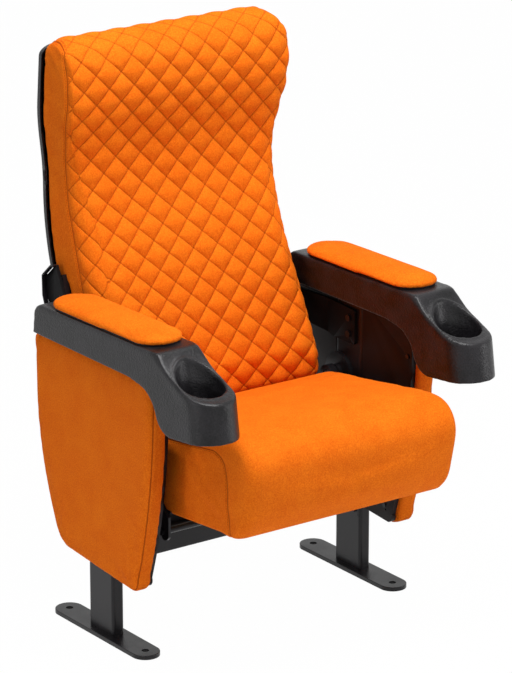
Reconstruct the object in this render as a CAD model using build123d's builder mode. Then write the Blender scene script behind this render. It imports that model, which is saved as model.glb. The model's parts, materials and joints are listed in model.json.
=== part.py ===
"""Tip-up auditorium seat: two floor-standing standards, moulded arms with cup holders,
a curved back and a cushion that tips up on side pivots.

X runs across the seat, Y towards the back and Z up. The origin is on the floor, at the
centre of the four anchor holes. Paired pieces are modelled on the +X side and mirrored.
"""
from build123d import *
from math import cos, exp, pi, radians, sqrt, tan
import os

os.makedirs("parts", exist_ok=True)

# ---- Widths that the rest follows ----
seat_half_width = 236.0
standard_x = seat_half_width + 49.0     # centre plane of each standard
back_low_half_width = seat_half_width - 4.0
back_high_half_width = back_low_half_width + 18.0
back_board_half_width = back_low_half_width - 30.0

# ---- Standards: foot plate, post and cross beam ----
foot_length = 308.0
foot_width = 54.0
foot_thickness = 8.0
anchor_spacing = 254.0      # front anchor hole to rear anchor hole
anchor_radius = 7.0         # clearance for an M12 anchor
post_width = 25.0           # across the seat
post_depth = 80.0           # front to back
post_wall = 3.0
post_corner = 6.0
post_top = 562.0
beam_size = 40.0
beam_wall = 3.0
beam_height = 159.0         # centre line above the floor
flange_thickness = 5.0
flange_depth = 76.0
flange_height = 84.0
flange_bolt_spread = 27.0   # from the flange's centre, both ways

# ---- Side panels ----
panel_thickness = 36.0
panel_inner_x = standard_x - 1.0
panel_edge_radius = 8.0     # upholstered outer edge
panel_top = 557.0
panel_front_y = -212.0
panel_front_low_z = 477.0   # the straight upper part of the front edge ends here
panel_rear_y = 182.0
panel_front_taper = 12.0    # the front face runs back this much towards its inner edge
panel_shoulder_z = 545.0    # the rear of the panel stops below the arm here
panel_toe_z = 129.5
panel_heel_z = 146.0
board_thickness = 10.0
board_margin = 13.0         # the black board is inset this far from the panel's outline
pocket_clearance = 1.0      # around the post

# ---- Moulded arms ----
arm_x = standard_x + 1.5    # centre plane of each arm
arm_width = 97.0
arm_wall = 4.0
arm_break_y = -241.0        # where the flat top ends and the cup slope starts
arm_break_z = 621.0
arm_rear_y = 152.0
arm_rear_lean = 7.0         # the rear edge runs out by this much towards the bottom
arm_pitch = 1.3             # degrees, the top falls towards the rear
arm_skirt_z = 554.0         # lower edge of the side walls
arm_nose_y = -332.0         # centre of the rounded nose at the rim
arm_nose_z = 569.0
nose_lean = 0.155           # the nose leans forward this much per millimetre of depth
arm_bottom_z = 475.0
arm_tip_rise = 12.0         # the underside of the nose climbs this much to its tip
arm_open_y = -216.0         # the underside is open behind this line
rear_corner_radius = 20.0
cup_y = -309.0
cup_half_x = 42.0
cup_half_y = 48.0
cup_floor_half_x = 35.0
cup_floor_half_y = 36.0
cup_floor_y = -318.0
cup_floor_z = 493.0
boss_radius = 7.0
boss_x = standard_x - 29.0
boss_y = 95.0
arm_plate_thickness = 5.0   # steel plate that carries the arm
arm_plate_length = 230.0
arm_plate_inner_x = standard_x - 42.0
arm_plate_outer_x = standard_x + 37.0
arm_screw_radius = 3.0

# ---- Arm pads ----
pad_length = 343.0
pad_width = 94.0
pad_centre_y = -48.0
pad_rim_height = 6.0
pad_dome_height = 11.0
pad_board_inset = 4.0
pad_board_thickness = 3.0

# ---- Seat pivot ----
pivot_y = 25.0
pivot_z = 396.0
pin_radius = 9.95
running_clearance = 0.05
bush_wall = 2.0
bush_flange_wall = 4.0
bush_flange_thickness = 1.8
boss_wall = 6.0
hinge_boss_length = 15.5
hinge_plate = 5.0
pin_inner_gap = 1.0
bracket_thickness = 8.0
bracket_head_radius = 38.5
bracket_bottom_z = 262.0
bracket_collar_radius = 16.0
bracket_collar_length = 8.0
shelf_thickness = 6.0
shelf_depth = 32.0
buffer_radius = 10.0
buffer_height = 16.0
buffer_y = -26.0
buffer_x = standard_x - 31.5
stop_gap = 0.3
lug_thickness = 6.0

# ---- Seat cushion ----
seat_side_gap = 1.0         # cushion to hinge plate
seat_foot_y = -344.0        # lower edge of the front, set back under the nose
seat_rear_y = 30.0
seat_bottom_z = 283.0
seat_edge_radius = 21.0
seat_board_thickness = 10.0
seat_board_inset = 26.0
hinge_front_y = -142.0
hinge_rear_y = 18.0
hinge_foot_reach = 46.0
rod_radius = 6.0
rod_y = -122.0
rod_z = seat_bottom_z - 54.0

# ---- Back ----
back_top_z = 1086.0
back_low_z = 402.0
back_low_radius = 30.0
back_flare_low_z = back_top_z - 296.0
back_flare_high_z = back_top_z - 126.0
back_corner_radius = 80.0
back_crest_radius = 34.0
back_edge_radius = 10.0
back_edge_swell = 30.0      # added to the edge radius at elbow height
back_swell_z = 680.0
back_swell_reach = 130.0
back_rear_radius = 6.0
back_even_sections = 14     # between the rounded lower edge and the crest
front_foot_z = 744.0        # the straight lower front ends here
front_foot_y = 156.0
hollow_y = 177.0            # deepest point of the front's hollow
hollow_z = 849.0
head_y = 153.5              # most forward point of the head bulge
head_z = 988.0
lower_lean = 0.40           # the lower front runs back this much per millimetre of height
upper_rear_z = 830.0        # the rear is straight above this bend and below the next
upper_rear_y = 258.0
upper_rear_lean = 0.092
lower_rear_y = 240.0
lower_rear_z = 645.0
lower_rear_lean = 0.2986    # continues the bend's own direction
back_board_thickness = 18.0
back_board_recess = 3.0
back_board_bottom_z = 440.0
back_board_top_z = back_top_z - 56.0
shell_depth = 10.0
shell_gap = 1.2             # between the cushion and the shell's rim
shell_wall = 4.0
shell_overhang = 2.0        # the shell stands this far outside the cushion
shell_foot_half_width = back_board_half_width - 3.0
shell_foot_top_z = 640.0
shell_bottom_z = 440.0
shell_top_z = back_top_z - 6.0
shell_corner_radius = 34.0
strut_outer_x = back_board_half_width + 39.0
strut_wall = 3.0
strut_front_depth = 34.0    # measured from the straight lower rear face, forwards
strut_rear_depth = 22.0
strut_top_z = 626.0
strut_bottom_z = 500.0
notch_top_z = 641.0
notch_clearance = 1.0
back_arm_thickness = 6.0

# ---- Fasteners ----
bolt_radius = 4.0
bolt_head_radius = 6.5
bolt_head_height = 4.5
bolt_clearance = 0.3
screw_radius = 2.0
screw_head_radius = 4.5
screw_head_height = 2.6

# ---- Places that follow from the sizes above ----
post_inner_x = standard_x - post_width / 2
post_outer_x = standard_x + post_width / 2
board_inner_x = panel_inner_x - board_thickness
arm_inner_x = arm_x - arm_width / 2
bracket_inner_x = post_inner_x - bracket_thickness
hinge_inner_x = seat_half_width + seat_side_gap
hinge_boss_x = hinge_inner_x + hinge_boss_length
bush_outer_radius = pin_radius + running_clearance + bush_wall
seat_board_bottom_z = seat_bottom_z - seat_board_thickness
hinge_foot_bottom_z = seat_board_bottom_z - hinge_plate
shelf_top_z = bracket_bottom_z + shelf_thickness
buffer_top_z = shelf_top_z + buffer_height
arm_plate_top_z = post_top + arm_plate_thickness


def arm_top_z(y):
    """Height of the arm's top face at a distance along the seat."""
    return arm_break_z - (y - arm_break_y) * tan(radians(arm_pitch))


def save(part, name):
    part.label = name
    export_step(part, f"parts/{name}.step")


def save_pair(part, name):
    """Write a piece of the +X side and its mirror image."""
    save(part, f"right_{name}")
    save(part.mirror(Plane.YZ), f"left_{name}")


def save_group(solids, name):
    """Write identical fasteners of both sides as one group of separate solids."""
    group = Compound(children=solids + [solid.mirror(Plane.YZ) for solid in solids])
    save(group, name)


def bolt(place, length, radius=bolt_radius, head=bolt_head_radius, height=bolt_head_height):
    """A bolt whose head sits on a plane and whose shank runs along the plane's normal."""
    with BuildPart(place) as piece:
        Cylinder(radius, length, align=(Align.CENTER, Align.CENTER, Align.MIN))
        Cylinder(head, height, align=(Align.CENTER, Align.CENTER, Align.MAX))
    return piece.part


def across(x, y, z):
    """A plane that faces the +X side."""
    return Plane(origin=(x, y, z), x_dir=(0, 1, 0), z_dir=(1, 0, 0))


def holes_across(points, x, radius=bolt_radius + bolt_clearance, depth=60.0):
    """Clearance holes along X at (Y, Z) points, cut from the part that is being built."""
    with BuildSketch(Plane.YZ.offset(x)) as openings:
        with Locations(*points):
            Circle(radius)
    extrude(openings.sketch, amount=depth, mode=Mode.SUBTRACT)


# ======================= Standards =======================

flange_bolts = [
    (y, beam_height + z)
    for y in (-flange_bolt_spread, flange_bolt_spread)
    for z in (-flange_bolt_spread, flange_bolt_spread)
]
bracket_bolts = [(0.0, 344.0), (0.0, 282.0)]
back_arm_bolts = [(-8.0, 480.0), (-8.0, 512.0)]

with BuildPart() as foot_plate:
    with BuildSketch():
        with Locations((standard_x, 0)):
            SlotOverall(foot_length, foot_width, rotation=90)
    extrude(amount=foot_thickness)
    fillet(foot_plate.faces().sort_by(Axis.Z)[-1].edges(), 1.2)
    with BuildSketch():
        with Locations((standard_x, -anchor_spacing / 2), (standard_x, anchor_spacing / 2)):
            Circle(anchor_radius)
    extrude(amount=foot_thickness, mode=Mode.SUBTRACT)
save_pair(foot_plate.part, "foot_plate")

with BuildPart() as post:
    with BuildSketch(Plane.XY.offset(foot_thickness)):
        with Locations((standard_x, 0)):
            RectangleRounded(post_width, post_depth, post_corner)
            RectangleRounded(
                post_width - 2 * post_wall, post_depth - 2 * post_wall, post_corner - post_wall, mode=Mode.SUBTRACT
            )
    extrude(amount=post_top - foot_thickness)
    holes_across(flange_bolts + bracket_bolts + back_arm_bolts, post_inner_x - 1, depth=post_width / 2)
save_pair(post.part, "post")

tube_half = post_inner_x - flange_thickness
with BuildPart() as cross_beam:
    with BuildSketch(Plane.YZ.offset(-tube_half)):
        with Locations((0, beam_height)):
            RectangleRounded(beam_size, beam_size, beam_wall + 1)
            RectangleRounded(beam_size - 2 * beam_wall, beam_size - 2 * beam_wall, 1, mode=Mode.SUBTRACT)
    extrude(amount=2 * tube_half)
    for x in (-post_inner_x, tube_half):
        with BuildSketch(Plane.YZ.offset(x)):
            with Locations((0, beam_height)):
                RectangleRounded(flange_depth, flange_height, 5)
        extrude(amount=flange_thickness)
    holes_across(flange_bolts, -post_inner_x - 1, depth=2 * post_inner_x + 2)
save(cross_beam.part, "cross_beam")

save_group([bolt(across(tube_half, y, z), 18) for y, z in flange_bolts], "beam_bolts")


# ======================= Side panels and inner boards =======================

def panel_outline(top, back_off=0.0):
    """Side view of a panel, its front edge moved back, for a sketch on YZ."""
    rear_inner_y = arm_rear_y - arm_wall - 2
    front_y = panel_front_y + back_off
    with BuildLine() as rim:
        Line((front_y, top), (front_y, panel_front_low_z))
        ThreePointArc((front_y, panel_front_low_z), (front_y + 11, 350), (front_y + 42, 200))
        Line((front_y + 42, 200), (front_y + 54, 160))
        ThreePointArc((front_y + 54, 160), (front_y + 60, 138), (front_y + 77, panel_toe_z))
        Line((front_y + 77, panel_toe_z), (80, panel_heel_z))
        ThreePointArc((80, panel_heel_z), (107, 160), (124, 184))
        ThreePointArc((124, 184), (161, 288), (panel_rear_y - 1, 414))
        Line((panel_rear_y - 1, 414), (panel_rear_y, panel_shoulder_z))
        Line((panel_rear_y, panel_shoulder_z), (rear_inner_y, panel_shoulder_z))
        Line((rear_inner_y, panel_shoulder_z), (rear_inner_y, top))
        Line((rear_inner_y, top), (front_y, top))
    make_face(rim.edges())


pocket_outer_x = post_outer_x + pocket_clearance
slot_depth = post_depth + 2 * pocket_clearance

with BuildPart() as side_panel:
    with BuildSketch(Plane.YZ.offset(panel_inner_x)):
        panel_outline(panel_top, panel_front_taper)
    with BuildSketch(Plane.YZ.offset(panel_inner_x + panel_thickness)):
        panel_outline(panel_top)
    loft(ruled=True)
    outer_rim = side_panel.faces().sort_by(Axis.X)[-1].edges()
    fillet([edge for edge in outer_rim if edge.center().Z < panel_shoulder_z - 5], panel_edge_radius)
    with BuildSketch():
        with Locations(((panel_inner_x + pocket_outer_x) / 2, 0)):
            Rectangle(pocket_outer_x - panel_inner_x, slot_depth)
    extrude(amount=panel_top, mode=Mode.SUBTRACT)
save_pair(side_panel.part, "side_panel")

board_screw_points = [(-180.0, 480.0), (-158.0, 300.0), (-115.0, 165.0), (138.0, 480.0), (125.0, 300.0), (70.0, 178.0)]

for name, side in (("front", -1), ("rear", 1)):
    with BuildPart() as inner_board:
        with BuildSketch(Plane.YZ.offset(board_inner_x)):
            panel_outline(panel_top + board_margin, panel_front_taper)
            offset(amount=-board_margin, kind=Kind.INTERSECTION)
            with Locations((side * (slot_depth / 2 + post_top / 2), post_top / 2)):
                Rectangle(post_top, 2 * post_top, mode=Mode.INTERSECT)
        extrude(amount=board_thickness)
        side_points = [(y, z) for y, z in board_screw_points if y * side > 0]
        holes_across(side_points, board_inner_x, screw_radius, board_thickness)
    save_pair(inner_board.part, f"{name}_board")

save_group(
    [
        bolt(across(board_inner_x, y, z), 30, screw_radius, screw_head_radius, screw_head_height)
        for y, z in board_screw_points
    ],
    "board_screws",
)


# ======================= Moulded arms with cup holders =======================

def arm_plan(z):
    """Plan view of the arm at a height: straight sides and a half-round nose."""
    half = arm_width / 2
    nose_y = arm_nose_y - (arm_nose_z - z) * nose_lean
    with BuildSketch(Plane.XY.offset(z)) as plan:
        with BuildLine() as rim:
            Line((arm_x - half, nose_y), (arm_x - half, arm_rear_y + 20))
            Line((arm_x - half, arm_rear_y + 20), (arm_x + half, arm_rear_y + 20))
            Line((arm_x + half, arm_rear_y + 20), (arm_x + half, nose_y))
            RadiusArc((arm_x + half, nose_y), (arm_x, nose_y - half), half)
            RadiusArc((arm_x, nose_y - half), (arm_x - half, nose_y), half)
        make_face(rim.edges())
    return plan.sketch


arm_low_z = arm_bottom_z - 10
arm_high_z = arm_break_z + 10
with BuildPart() as arm_form:
    loft([arm_plan(arm_low_z), arm_plan(arm_high_z)], ruled=True)

with BuildPart() as arm:
    with BuildSketch(Plane.YZ.offset(arm_inner_x)):
        with BuildLine():
            Line((arm_rear_y, arm_top_z(arm_rear_y)), (arm_break_y, arm_break_z))
            ThreePointArc((arm_break_y, arm_break_z), (-285, 587), (-345, 565))
            Line((-345, 565), (-400, 554))
            Line((-400, 554), (-400, arm_bottom_z + arm_tip_rise))
            Line((-400, arm_bottom_z + arm_tip_rise), (-284, arm_bottom_z))
            ThreePointArc((-284, arm_bottom_z), (-255, 484), (-238, 508))
            ThreePointArc((-238, 508), (-222, 532), (-190, 548))
            Line((-190, 548), (-150, arm_skirt_z))
            Line((-150, arm_skirt_z), (arm_rear_y + arm_rear_lean, arm_skirt_z))
            Line((arm_rear_y + arm_rear_lean, arm_skirt_z), (arm_rear_y, arm_top_z(arm_rear_y)))
        make_face()
    extrude(amount=arm_width)
    add(arm_form.part, mode=Mode.INTERSECT)
    rear_top = arm.edges().filter_by(Axis.X).group_by(Axis.Y)[-2:]
    fillet(sorted(rear_top[0] + rear_top[1], key=lambda edge: edge.center().Z)[-1], rear_corner_radius)
    # cavity under the flat top, open at the bottom
    with BuildSketch(Plane.YZ.offset(arm_inner_x + arm_wall)):
        cavity_rear_y = arm_rear_y - arm_wall
        with BuildLine():
            Polyline(
                (arm_open_y, arm_top_z(arm_open_y) - arm_wall),
                (cavity_rear_y, arm_top_z(cavity_rear_y) - arm_wall),
                (cavity_rear_y + arm_rear_lean, arm_skirt_z),
                (cavity_rear_y + arm_rear_lean, arm_bottom_z),
                (arm_open_y, arm_bottom_z),
                close=True,
            )
        make_face()
    extrude(amount=arm_width - 2 * arm_wall, mode=Mode.SUBTRACT)
    # cup well: an elliptical mouth that narrows to a closed floor
    with BuildSketch(Plane.XY.offset(cup_floor_z)):
        with Locations((arm_x, cup_floor_y)):
            Ellipse(cup_floor_half_x, cup_floor_half_y)
    with BuildSketch(Plane.XY.offset(arm_high_z)):
        with Locations((arm_x, cup_y)):
            Ellipse(cup_half_x, cup_half_y)
    loft(ruled=True, mode=Mode.SUBTRACT)
    # screw bosses that stand on the steel plate
    for y in (-boss_y, boss_y):
        with BuildSketch(Plane.XY.offset(arm_plate_top_z)):
            with Locations((boss_x, y)):
                Circle(boss_radius)
                Circle(arm_screw_radius - 0.5, mode=Mode.SUBTRACT)
        extrude(amount=arm_top_z(y) - arm_wall - arm_plate_top_z + 1)
save_pair(arm.part, "arm")

with BuildPart() as arm_plate:
    with BuildSketch(Plane.XY.offset(post_top)):
        with Locations(((arm_plate_inner_x + arm_plate_outer_x) / 2, 0)):
            RectangleRounded(arm_plate_outer_x - arm_plate_inner_x, arm_plate_length, 8)
        with Locations((boss_x, -boss_y), (boss_x, boss_y)):
            Circle(arm_screw_radius + bolt_clearance, mode=Mode.SUBTRACT)
    extrude(amount=arm_plate_thickness)
save_pair(arm_plate.part, "arm_plate")

arm_screw_length = 30.0
upward = [Plane(origin=(boss_x, y, post_top)) for y in (-boss_y, boss_y)]
save_group([bolt(place, arm_screw_length, arm_screw_radius, 5.5, 3.2) for place in upward], "arm_screws")


# ======================= Arm pads =======================

pad_plane = Plane(
    origin=(arm_x, pad_centre_y, arm_top_z(pad_centre_y)), x_dir=(1, 0, 0), z_dir=(0, tan(radians(arm_pitch)), 1)
)
pad_half = pad_width / 2
pad_run = pad_length / 2 - pad_half

with BuildPart() as pad_board:
    with BuildSketch():
        SlotOverall(pad_length - 2 * pad_board_inset, pad_width - 2 * pad_board_inset, rotation=90)
    extrude(amount=pad_board_thickness)
save_pair(pad_plane.location * pad_board.part, "pad_board")

with BuildPart() as arm_pad:
    # half of the domed section, run along the pad on both sides and turned round both ends
    with BuildSketch(Plane.XZ.offset(-pad_run)) as half_dome:
        shoulder_z = pad_board_thickness + pad_rim_height
        with BuildLine():
            Line((0, pad_board_thickness), (pad_half, pad_board_thickness))
            Line((pad_half, pad_board_thickness), (pad_half, shoulder_z))
            EllipticalCenterArc((0, shoulder_z), pad_half, pad_dome_height, start_angle=0, arc_size=90)
            Line((0, shoulder_z + pad_dome_height), (0, pad_board_thickness))
        make_face()
    extrude(amount=2 * pad_run)
    revolve(half_dome.sketch, axis=Axis((0, pad_run, 0), (0, 0, 1)), revolution_arc=180)
    mirror(about=Plane.YZ)
    mirror(about=Plane.XZ)
save_pair(pad_plane.location * arm_pad.part, "arm_pad")


# ======================= Seat pivot =======================

with BuildPart() as pivot_bracket:
    with BuildSketch(Plane.YZ.offset(bracket_inner_x)):
        with BuildLine():
            Line((pivot_y - bracket_head_radius, pivot_z), (-post_depth / 2, 330))
            Line((-post_depth / 2, 330), (-post_depth / 2, bracket_bottom_z))
            Line((-post_depth / 2, bracket_bottom_z), (post_depth / 2, bracket_bottom_z))
            Line((post_depth / 2, bracket_bottom_z), (pivot_y + bracket_head_radius, 330))
            Line((pivot_y + bracket_head_radius, 330), (pivot_y + bracket_head_radius, pivot_z))
            ThreePointArc(
                (pivot_y + bracket_head_radius, pivot_z),
                (pivot_y, pivot_z + bracket_head_radius),
                (pivot_y - bracket_head_radius, pivot_z),
            )
        make_face()
    extrude(amount=bracket_thickness)
    with BuildSketch(Plane.YZ.offset(bracket_inner_x)):
        with Locations((pivot_y, pivot_z)):
            Circle(bracket_collar_radius)
    extrude(amount=-bracket_collar_length)
    # shelf that carries the rubber stop
    shelf_length = bracket_inner_x - (buffer_x - buffer_radius - 1)
    with BuildSketch(Plane.XY.offset(bracket_bottom_z)):
        with Locations((bracket_inner_x - shelf_length / 2, buffer_y)):
            Rectangle(shelf_length, shelf_depth)
    extrude(amount=shelf_thickness)
    with BuildSketch(Plane.YZ.offset(bracket_inner_x - bracket_collar_length)):
        with Locations((pivot_y, pivot_z)):
            Circle(pin_radius)
    extrude(amount=bracket_collar_length + bracket_thickness, mode=Mode.SUBTRACT)
    holes_across(bracket_bolts, bracket_inner_x)
save_pair(pivot_bracket.part, "pivot_bracket")

pin_length = post_inner_x - hinge_inner_x - pin_inner_gap
with BuildPart(across(post_inner_x - pin_length, pivot_y, pivot_z)) as pivot_pin:
    Cylinder(pin_radius, pin_length, align=(Align.CENTER, Align.CENTER, Align.MIN))
    chamfer(pivot_pin.edges().sort_by(Axis.X)[0], 1)
save_pair(pivot_pin.part, "pivot_pin")

bush_bore = pin_radius + running_clearance
with BuildPart(across(hinge_inner_x, pivot_y, pivot_z)) as pivot_bush:
    Cylinder(bush_outer_radius, hinge_boss_length, align=(Align.CENTER, Align.CENTER, Align.MIN))
    with Locations((0, 0, hinge_boss_length)):
        Cylinder(
            bush_outer_radius + bush_flange_wall,
            bush_flange_thickness,
            align=(Align.CENTER, Align.CENTER, Align.MIN),
        )
    Cylinder(bush_bore, 60, mode=Mode.SUBTRACT)
save_pair(pivot_bush.part, "pivot_bush")

with BuildPart(Plane(origin=(buffer_x, buffer_y, shelf_top_z))) as stop_buffer:
    Cylinder(buffer_radius, buffer_height, align=(Align.CENTER, Align.CENTER, Align.MIN))
    fillet(stop_buffer.faces().sort_by(Axis.Z)[-1].edges(), 2.5)
save_pair(stop_buffer.part, "stop_buffer")

save_group([bolt(across(bracket_inner_x, y, z), 16) for y, z in bracket_bolts], "bracket_bolts")

hinge_boss_radius = bush_outer_radius + boss_wall
seat_screw_x = seat_half_width - seat_board_inset - 9
seat_screw_y = (-125, -70, -15)
with BuildPart() as hinge_arm:
    # side plate from the pivot down to the foot
    with BuildSketch(Plane.YZ.offset(hinge_inner_x)):
        with BuildLine():
            Line((pivot_y - hinge_boss_radius * 0.8, pivot_z + hinge_boss_radius * 0.6), (hinge_front_y, hinge_foot_bottom_z - 6))
            Line((hinge_front_y, hinge_foot_bottom_z - 6), (hinge_front_y, rod_z - 5))
            ThreePointArc(
                (hinge_front_y, rod_z - 5), (hinge_front_y + 8, rod_z - 13), (hinge_front_y + 20, rod_z - 13)
            )
            Line((hinge_front_y + 20, rod_z - 13), (hinge_front_y + 50, hinge_foot_bottom_z))
            Line((hinge_front_y + 50, hinge_foot_bottom_z), (hinge_rear_y, hinge_foot_bottom_z))
            Line((hinge_rear_y, hinge_foot_bottom_z), (pivot_y + hinge_boss_radius, pivot_z))
            ThreePointArc(
                (pivot_y + hinge_boss_radius, pivot_z),
                (pivot_y + hinge_boss_radius * 0.28, pivot_z + hinge_boss_radius * 0.96),
                (pivot_y - hinge_boss_radius * 0.8, pivot_z + hinge_boss_radius * 0.6),
            )
        make_face()
    extrude(amount=hinge_plate)
    with BuildSketch(Plane.YZ.offset(hinge_inner_x)):
        with Locations((pivot_y, pivot_z)):
            Circle(hinge_boss_radius)
    extrude(amount=hinge_boss_length)
    # foot turned in under the seat board, and the lug that meets the rubber stop
    foot_length_y = hinge_rear_y - hinge_front_y
    with BuildSketch(Plane.XY.offset(hinge_foot_bottom_z)):
        with Locations((hinge_inner_x - hinge_foot_reach / 2, hinge_front_y + foot_length_y / 2)):
            Rectangle(hinge_foot_reach, foot_length_y)
    extrude(amount=hinge_plate)
    lug_bottom_z = buffer_top_z + stop_gap
    lug_reach = buffer_x + buffer_radius - 2 - hinge_inner_x
    with BuildSketch(Plane.XY.offset(lug_bottom_z)):
        with Locations((hinge_inner_x + lug_reach / 2, buffer_y)):
            Rectangle(lug_reach, 2 * buffer_radius + 4)
    extrude(amount=lug_thickness)
    with BuildSketch(Plane.YZ.offset(hinge_inner_x)):
        with Locations((pivot_y, pivot_z)):
            Circle(bush_outer_radius)
        with Locations((rod_y, rod_z)):
            Circle(rod_radius)
    extrude(amount=hinge_boss_length, mode=Mode.SUBTRACT)
    with BuildSketch(Plane.XY.offset(hinge_foot_bottom_z)):
        with Locations(*[(seat_screw_x, y) for y in seat_screw_y]):
            Circle(screw_radius)
    extrude(amount=hinge_plate, mode=Mode.SUBTRACT)
save_pair(hinge_arm.part, "hinge_arm")

rod_half = hinge_inner_x + hinge_plate + 4
with BuildPart(across(-rod_half, rod_y, rod_z)) as tie_rod:
    Cylinder(rod_radius, 2 * rod_half, align=(Align.CENTER, Align.CENTER, Align.MIN))
save(tie_rod.part, "tie_rod")


# ======================= Seat =======================

with BuildPart() as seat_cushion:
    # side view: rounded rear edge, rising top, a nose that overhangs the front's lower edge
    with BuildSketch(Plane.YZ.offset(-seat_half_width)):
        with BuildLine():
            Line((seat_foot_y, seat_bottom_z), (seat_rear_y - 8, seat_bottom_z))
            Line((seat_rear_y - 8, seat_bottom_z), (seat_rear_y, 368))
            ThreePointArc((seat_rear_y, 368), (16, 398), (-15, 416))
            Spline(
                (-15, 416),
                (-110, 434),
                (-219, 451),
                (-305, 460),
                (-368, 452),
                (-394, 412),
                (-387, 362),
                (-369, 315),
                (seat_foot_y, seat_bottom_z),
                tangents=((-1, 0.2), (0.72, -0.7)),
            )
        make_face()
    extrude(amount=2 * seat_half_width)
    side_rims = [
        edge
        for edge in seat_cushion.edges()
        if abs(edge.center().X) > seat_half_width - 1
        and edge.bounding_box().max.Z > seat_bottom_z + 1
        and edge.center().Y < -30
    ]
    fillet(side_rims, seat_edge_radius)
save(seat_cushion.part, "seat_cushion")

board_half = seat_half_width - seat_board_inset
board_front_y = seat_foot_y + seat_board_inset
with BuildPart() as seat_board:
    with BuildSketch(Plane.XY.offset(seat_board_bottom_z)):
        with Locations((0, (board_front_y + seat_rear_y - seat_board_inset) / 2)):
            RectangleRounded(2 * board_half, seat_rear_y - seat_board_inset - board_front_y, 35)
    extrude(amount=seat_board_thickness)
save(seat_board.part, "seat_board")

seat_screw_places = [Plane(origin=(seat_screw_x, y, hinge_foot_bottom_z)) for y in seat_screw_y]
save_group(
    [bolt(place, 14, screw_radius, screw_head_radius, screw_head_height) for place in seat_screw_places],
    "seat_screws",
)


# ======================= Back =======================

def rear_y(z, shift=0.0):
    """Rear of the back in side view, moved towards the rear: straight, a bend, straight."""
    if z > upper_rear_z:
        return upper_rear_y - upper_rear_lean * (z - upper_rear_z) + shift
    if z < lower_rear_z:
        return lower_rear_y - lower_rear_lean * (lower_rear_z - z) + shift
    span = upper_rear_z - lower_rear_z
    bend = (upper_rear_y + upper_rear_lean * span - lower_rear_y) / span**2
    return upper_rear_y + upper_rear_lean * (upper_rear_z - z) - bend * (upper_rear_z - z) ** 2 + shift


def rear_curve(top, low, shift):
    """Rear of the back in side view, from its top down: straight, a bend, straight."""
    Line((rear_y(top, shift), top), (upper_rear_y + shift, upper_rear_z))
    TangentArc(
        (upper_rear_y + shift, upper_rear_z), (lower_rear_y + shift, lower_rear_z), tangent=(upper_rear_lean, -1)
    )
    Line((lower_rear_y + shift, lower_rear_z), (rear_y(low, shift), low))


def rear_band(top, low, near, far):
    """A strip that follows the rear of the back, between two distances from it."""
    with BuildLine() as rim:
        rear_curve(top, low, near)
        rear_curve(top, low, far)
        Line((rear_y(top, near), top), (rear_y(top, far), top))
        Line((rear_y(low, near), low), (rear_y(low, far), low))
    make_face(rim.edges())


def back_front_view(grow, top, low, corner):
    """Front view of the back: narrow between the arms, flared above them, round corners."""
    narrow = back_low_half_width + grow
    wide = back_high_half_width + grow
    with BuildLine() as rim:
        Line((0, low), (narrow, low))
        Line((narrow, low), (narrow, back_flare_low_z))
        Spline(
            (narrow, back_flare_low_z),
            ((narrow + wide) / 2, (back_flare_low_z + back_flare_high_z) / 2),
            (wide, back_flare_high_z),
            tangents=((0, 1), (0, 1)),
        )
        Line((wide, back_flare_high_z), (wide, top - corner))
        RadiusArc((wide, top - corner), (wide - corner, top), -corner)
        Line((wide - corner, top), (0, top))
        mirror(about=Plane.YZ)
    make_face(rim.edges())


def front_y(z):
    """Front of the back on the centre line: straight, hollow, head bulge, rounded ends."""
    if z < front_foot_z:
        y = front_foot_y - lower_lean * (front_foot_z - z)
    elif z < hollow_z:
        y = hollow_y - (hollow_y - front_foot_y) * ((hollow_z - z) / (hollow_z - front_foot_z)) ** 2
    elif z < head_z:
        swing = cos(pi * (head_z - z) / (head_z - hollow_z))
        y = (hollow_y + head_y) / 2 - (hollow_y - head_y) / 2 * swing
    else:
        y = head_y + 0.002 * (z - head_z) ** 2
    return y + rounding(back_low_z + back_low_radius - z, back_low_radius) + rounding(
        z - back_top_z + back_crest_radius, back_crest_radius
    )


def rounding(past, radius):
    """How far a quarter-round end draws in, at a distance past its start."""
    if past <= 0:
        return 0.0
    return radius - sqrt(max(radius**2 - past**2, 0))


def half_width(z):
    """Half the width of the back: narrow between the arms, flared above them."""
    share = min(max((z - back_flare_low_z) / (back_flare_high_z - back_flare_low_z), 0), 1)
    flare = (back_high_half_width - back_low_half_width) * (1 - cos(pi * share)) / 2
    return back_low_half_width + flare - rounding(z - back_top_z + back_corner_radius, back_corner_radius)


def front_edge_radius(z):
    """The front edges are fullest at elbow height and crisp at both ends."""
    return back_edge_radius + back_edge_swell * exp(-(((z - back_swell_z) / back_swell_reach) ** 2))


def back_section(z):
    """Plan section of the back cushion."""
    near = front_y(z)
    far = rear_y(z) - rounding(z - back_top_z + back_crest_radius, back_crest_radius)
    half = half_width(z)
    front = min(front_edge_radius(z), (far - near) * 0.45)
    rear = min(back_rear_radius, (far - near) * 0.3)
    with BuildSketch(Plane.XY.offset(z)) as section:
        with BuildLine() as rim:
            Line((front - half, near), (half - front, near))
            RadiusArc((half - front, near), (half, near + front), -front)
            Line((half, near + front), (half, far - rear))
            RadiusArc((half, far - rear), (half - rear, far), -rear)
            Line((half - rear, far), (rear - half, far))
            RadiusArc((rear - half, far), (-half, far - rear), -rear)
            Line((-half, far - rear), (-half, near + front))
            RadiusArc((-half, near + front), (front - half, near), -front)
        make_face(rim.edges())
    return section.sketch


low_sections = [back_low_z + up for up in (0, 4, 12, 22, 32, 48)]
even_low_z = back_low_z + 78
even_step = (back_top_z - 64 - even_low_z) / (back_even_sections - 1)
even_sections = [even_low_z + even_step * count for count in range(back_even_sections)]
top_sections = [back_top_z - down for down in (34, 20, 10, 4, 1)]

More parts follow.
